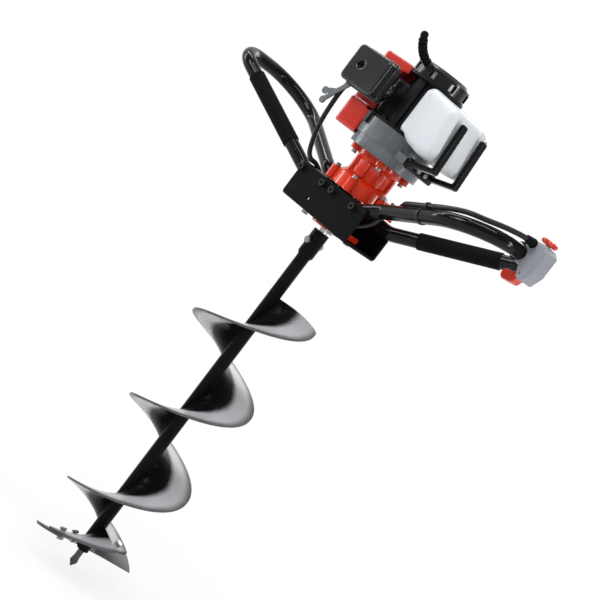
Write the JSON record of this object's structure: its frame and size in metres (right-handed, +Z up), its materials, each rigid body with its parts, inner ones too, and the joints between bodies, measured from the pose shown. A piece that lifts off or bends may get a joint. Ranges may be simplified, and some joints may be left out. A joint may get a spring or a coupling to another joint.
{
  "type": "earth auger",
  "caption": "Petrol earth auger with a helical drill bit, reduction gearbox, small engine with fuel tank, and bent tube handle loops with a trigger throttle.",
  "frame": {"origin": "tip of the pilot point, on the drill axis", "axes": "+Z up the drill axis to the engine, +X to the throttle handle, -Y to the air cleaner side"},
  "size_m": [0.7625, 0.2185, 1.1291],
  "materials": {
    "bit_black": "gloss",
    "blade_steel": "ground",
    "gear_steel": "machined",
    "bolt_steel": "zinc plated",
    "bracket_black": "satin",
    "case_orange": "satin",
    "tube_black": "gloss",
    "grip_rubber": "matt",
    "fan_grey": "cast, painted",
    "crankcase_dark": "cast, painted",
    "cylinder_alloy": "cast",
    "cover_red": "gloss",
    "plug_white": "glazed",
    "muffler_black": "heat-proof matt",
    "part_black": "matt",
    "carb_alloy": "die cast",
    "foam": "open foam",
    "starter_black": "satin",
    "rope_cord": "braided",
    "tank_white": "translucent satin",
    "throttle_grey": "satin",
    "control_red": "satin"
  },
  "bodies": {
    "machine": {"handle_bracket": "bracket_black", "bracket_bolts": "bolt_steel", "gear_case": "case_orange", "gear_cover": "case_orange", "gear_case_bolts": "bolt_steel", "output_bearings": "gear_steel", "gear_bearings": "gear_steel", "oil_seal": "grip_rubber", "left_handle": "tube_black", "right_handle": "tube_black", "left_grip": "grip_rubber", "right_grip": "grip_rubber", "handle_bolts": "part_black", "fan_case": "fan_grey", "lead_clip": "part_black", "crankcase": "crankcase_dark", "cylinder": "cylinder_alloy", "cylinder_cover": "cover_red", "spark_plug": "plug_white", "plug_cap": "grip_rubber", "muffler": "muffler_black", "insulator": "part_black", "carburettor": "carb_alloy", "primer_bulb": "grip_rubber", "air_cleaner_base": "part_black", "air_filter": "foam", "air_cleaner_cover": "part_black", "cover_screw": "part_black", "starter_housing": "starter_black", "fuel_tank": "tank_white", "tank_guard": "bracket_black", "guard_bolts": "bolt_steel", "throttle_clamp": "part_black", "throttle_case": "throttle_grey", "trigger_pin": "bolt_steel", "throttle_cable": "grip_rubber", "cable_tie": "part_black"},
    "bit": {"pilot_point": "blade_steel", "auger_shaft": "bit_black", "auger_flight": "bit_black", "stub_flight": "bit_black", "cutter_blades": "blade_steel", "blade_bolts": "bolt_steel", "coupling_bolt": "bolt_steel", "output_shaft": "gear_steel", "output_gear": "gear_steel"},
    "counter": {"counter_shaft": "gear_steel", "counter_gear": "gear_steel"},
    "input": {"input_pinion": "gear_steel", "clutch_drum": "gear_steel"},
    "crank": {"crankshaft": "gear_steel", "flywheel": "cylinder_alloy", "clutch_shoes": "gear_steel", "starter_cup": "gear_steel"},
    "trigger": {"trigger": "control_red"},
    "stop_switch": {"stop_switch": "control_red"},
    "starter_grip": {"starter_grip": "grip_rubber", "starter_rope": "rope_cord"},
    "choke_lever": {"choke_lever": "fan_grey"},
    "fuel_cap": {"fuel_cap": "part_black"}
  },
  "joints": [
    {"name": "auger_spin", "type": "hinge", "parent": "machine", "child": "bit", "pos_m": [0, 0, 0], "axis": [0, 0, 1], "continuous": true},
    {"name": "counter_spin", "type": "hinge", "parent": "machine", "child": "counter", "pos_m": [0.006, 0.02939, 0], "axis": [0, 0, 1], "continuous": true},
    {"name": "input_spin", "type": "hinge", "parent": "machine", "child": "input", "pos_m": [0.012, 0, 0], "axis": [0, 0, 1], "continuous": true},
    {"name": "crank_spin", "type": "hinge", "parent": "machine", "child": "crank", "pos_m": [0.012, 0, 0], "axis": [0, 0, 1], "continuous": true},
    {"name": "trigger_pull", "type": "hinge", "parent": "machine", "child": "trigger", "pos_m": [0.376, 0.028, 0.903], "axis": [0, 1, 0], "range_deg": [0, 20], "stiffness_Nm_per_rad": 0.3, "springref_deg": -17.19},
    {"name": "stop_switch_slide", "type": "slide", "parent": "machine", "child": "stop_switch", "axis": [0, 1, 0], "range_m": [0, 0.008]},
    {"name": "starter_pull", "type": "slide", "parent": "machine", "child": "starter_grip", "axis": [0, -0.9848, 0.1736], "range_m": [0, 0.6], "stiffness_N_per_m": 15, "springref_m": -0.2, "deforming": ["starter_rope"]},
    {"name": "choke_turn", "type": "hinge", "parent": "machine", "child": "choke_lever", "pos_m": [-0.088, -0.0687, 0.9972], "axis": [0, 1, 0], "range_deg": [0, 60]},
    {"name": "cap_turn", "type": "hinge", "parent": "machine", "child": "fuel_cap", "pos_m": [0.1, 0.0573, 1.0332], "axis": [0, 1, 0], "range_deg": [0, 360]}
  ],
  "couplings": [
    {"joint": "counter_spin", "follows": "auger_spin", "ratio": -5},
    {"joint": "input_spin", "follows": "auger_spin", "ratio": 25}
  ]
}
